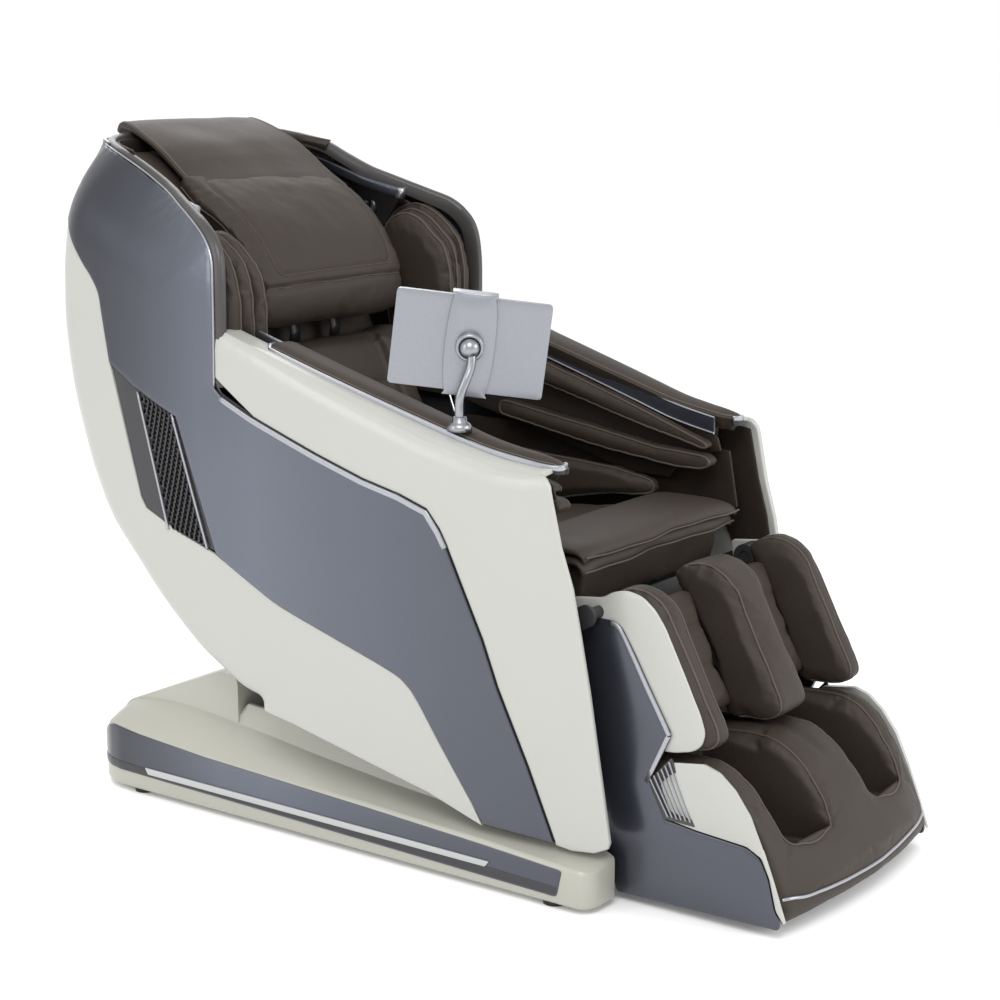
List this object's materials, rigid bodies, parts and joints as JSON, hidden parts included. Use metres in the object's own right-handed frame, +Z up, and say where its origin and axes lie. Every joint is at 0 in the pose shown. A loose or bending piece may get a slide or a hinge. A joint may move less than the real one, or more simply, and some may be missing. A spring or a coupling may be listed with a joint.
{
  "type": "massage chair",
  "caption": "Reclining massage chair: padded capsule seat with arms and hood on a long low base, lifting leg rest with foot wells, arm-mounted screen.",
  "frame": {"origin": "centre of the bounding box, on the floor under the base", "axes": "+Z up; the sitter faces -Y; the sitter's right arm, with the screen, is on -X"},
  "size_m": [0.786, 1.5, 1.25],
  "materials": {
    "frame_steel": "black powder coat",
    "rail_steel": "satin",
    "cream_shell": "cream, smooth satin gloss",
    "grey_metallic": "blue-grey metallic paint",
    "light_lens": "milky lens",
    "black_rubber": "matt",
    "black_plastic": "matt black",
    "motor_housing": "matt dark grey",
    "pin_steel": "ground",
    "glide_nylon": "natural nylon",
    "mesh_black": "gloss black",
    "silver_trim": "satin silver",
    "brown_leather": "dark brown, fine grain",
    "brown_lining": "dark brown, fine grain",
    "rim_grey": "warm dark grey, satin",
    "speaker_cone": "black",
    "dark_cover": "textured",
    "tablet_silver": "satin silver"
  },
  "bodies": {
    "base": {"floor_frame": "frame_steel", "guide_rails": "rail_steel", "base_cover": "cream_shell", "base_strips": "grey_metallic", "base_light_bars": "light_lens", "rubber_feet": "black_rubber", "power_panel": "black_plastic", "slide_motor": "motor_housing"},
    "carriage": {"carriage_frame": "frame_steel", "glide_shoes": "glide_nylon", "tilt_shaft": "pin_steel", "slide_rod": "pin_steel"},
    "capsule": {"seat_frame": "frame_steel", "knee_pins": "pin_steel", "back_shell": "cream_shell", "side_shell_left": "cream_shell", "side_shell_right": "cream_shell", "side_panel_left": "grey_metallic", "side_panel_right": "grey_metallic", "vent_grilles": "mesh_black", "arm_panel_left": "cream_shell", "arm_panel_right": "cream_shell", "arm_trim": "silver_trim", "armrest_pad_left": "brown_leather", "armrest_pad_right": "brown_leather", "arm_lining_left": "brown_lining", "arm_lining_right": "brown_lining", "accent_strips": "grey_metallic", "arm_airbags_left": "brown_leather", "arm_airbags_right": "brown_leather", "hip_airbags": "brown_leather", "hood_rim": "rim_grey", "hood_lining": "brown_lining", "speaker_housings": "rim_grey", "speakers": "speaker_cone", "shoulder_wing_left": "brown_leather", "shoulder_wing_right": "brown_leather", "back_cushion": "brown_leather", "seat_cushion": "brown_leather", "head_pillow": "brown_leather", "roller_track": "rail_steel", "tablet_collar": "silver_trim"},
    "leg_rest": {"leg_frame": "frame_steel", "calf_shells": "cream_shell", "leg_back_cover": "dark_cover", "calf_cushion": "brown_leather"},
    "foot_unit": {"foot_slide_rods": "pin_steel", "foot_side_plates": "grey_metallic", "foot_side_shells": "cream_shell", "leg_ribs": "silver_trim", "foot_boot": "brown_leather"},
    "rocker": {"power_rocker": "black_plastic"},
    "left_wheel": {"wheel_left": "black_rubber"},
    "right_wheel": {"wheel_right": "black_rubber"},
    "massage_unit": {"massage_chassis": "motor_housing"},
    "kneader": {"kneading_shaft": "pin_steel"},
    "foot_roller": {"foot_rollers": "pin_steel"},
    "screen_arm": {"tablet_arm": "silver_trim"},
    "screen": {"tablet_cradle": "tablet_silver", "tablet": "tablet_silver"}
  },
  "joints": [
    {"name": "carriage_slide", "type": "slide", "parent": "base", "child": "carriage", "axis": [0, -1, 0], "range_m": [0, 0.16]},
    {"name": "capsule_tilt", "type": "hinge", "parent": "carriage", "child": "capsule", "pos_m": [0, 0.27, 0.22], "axis": [-1, 0, 0], "range_deg": [0, 25]},
    {"name": "leg_lift", "type": "hinge", "parent": "capsule", "child": "leg_rest", "pos_m": [0, -0.36, 0.488], "axis": [-1, 0, 0], "range_deg": [0, 58]},
    {"name": "foot_extension", "type": "slide", "parent": "leg_rest", "child": "foot_unit", "axis": [0, -0.4352, -0.9003], "range_m": [0, 0.12]},
    {"name": "foot_roller_turn", "type": "hinge", "parent": "foot_unit", "child": "foot_roller", "pos_m": [0, -0.57, 0.045], "axis": [1, 0, 0], "continuous": true},
    {"name": "massage_unit_travel", "type": "slide", "parent": "capsule", "child": "massage_unit", "axis": [0, 0.4067, 0.9135], "range_m": [0, 0.4]},
    {"name": "kneader_turn", "type": "hinge", "parent": "massage_unit", "child": "kneader", "pos_m": [0, 0.48165, 0.54217], "axis": [1, 0, 0], "continuous": true},
    {"name": "screen_arm_swivel", "type": "hinge", "parent": "capsule", "child": "screen_arm", "pos_m": [-0.318, -0.118, 0.79], "axis": [0, 0, 1], "range_deg": [-20, 20]},
    {"name": "screen_tilt", "type": "hinge", "parent": "screen_arm", "child": "screen", "pos_m": [-0.3, -0.126, 0.905], "axis": [0.5937, -0.7955, -0.1212], "range_deg": [-12, 12]},
    {"name": "rocker_tip", "type": "hinge", "parent": "base", "child": "rocker", "pos_m": [0.14, 0.734, 0.058], "axis": [1, 0, 0], "range_deg": [0, 14]},
    {"name": "left_wheel_turn", "type": "hinge", "parent": "base", "child": "left_wheel", "pos_m": [0.155, 0.672, 0.034], "axis": [1, 0, 0], "continuous": true},
    {"name": "right_wheel_turn", "type": "hinge", "parent": "base", "child": "right_wheel", "pos_m": [-0.155, 0.672, 0.034], "axis": [1, 0, 0], "continuous": true}
  ],
  "couplings": [
    {"joint": "capsule_tilt", "follows": "carriage_slide", "rad_per_m": 2.72},
    {"joint": "foot_extension", "follows": "leg_lift", "m_per_rad": 0.118}
  ]
}
